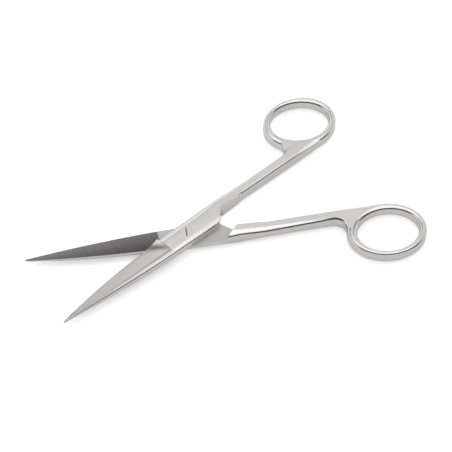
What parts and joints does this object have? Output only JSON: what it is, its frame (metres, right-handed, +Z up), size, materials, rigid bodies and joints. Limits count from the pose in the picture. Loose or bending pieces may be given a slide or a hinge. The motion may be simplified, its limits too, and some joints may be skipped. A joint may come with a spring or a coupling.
{
  "type": "surgical scissors",
  "caption": "Straight operating scissors with pointed blades, a screwed lap joint and oval finger rings, lying open; one half swings on the pivot screw.",
  "frame": {"origin": "on the surface that the scissors lie on, straight below the pivot", "axes": "+X along the middle of the open handles, from the pivot to the rings; +Y towards the ring of the upper half; +Z up, along the pivot screw, out of its slotted head"},
  "size_m": [0.1364, 0.0884, 0.006],
  "materials": {
    "upper_steel": "satin, finely brushed stainless steel",
    "lower_steel": "satin, finely brushed stainless steel, inner blade face ground darker",
    "screw_steel": "satin, dressed flush with the joint"
  },
  "bodies": {
    "lower": {"lower_half": "lower_steel", "pivot_screw": "screw_steel"},
    "upper": {"upper_half": "upper_steel"}
  },
  "joints": [
    {"name": "pivot", "type": "hinge", "parent": "lower", "child": "upper", "pos_m": [0, 0, 0.003], "axis": [0, 0, 1], "range_deg": [-31.2, 57.6]}
  ]
}
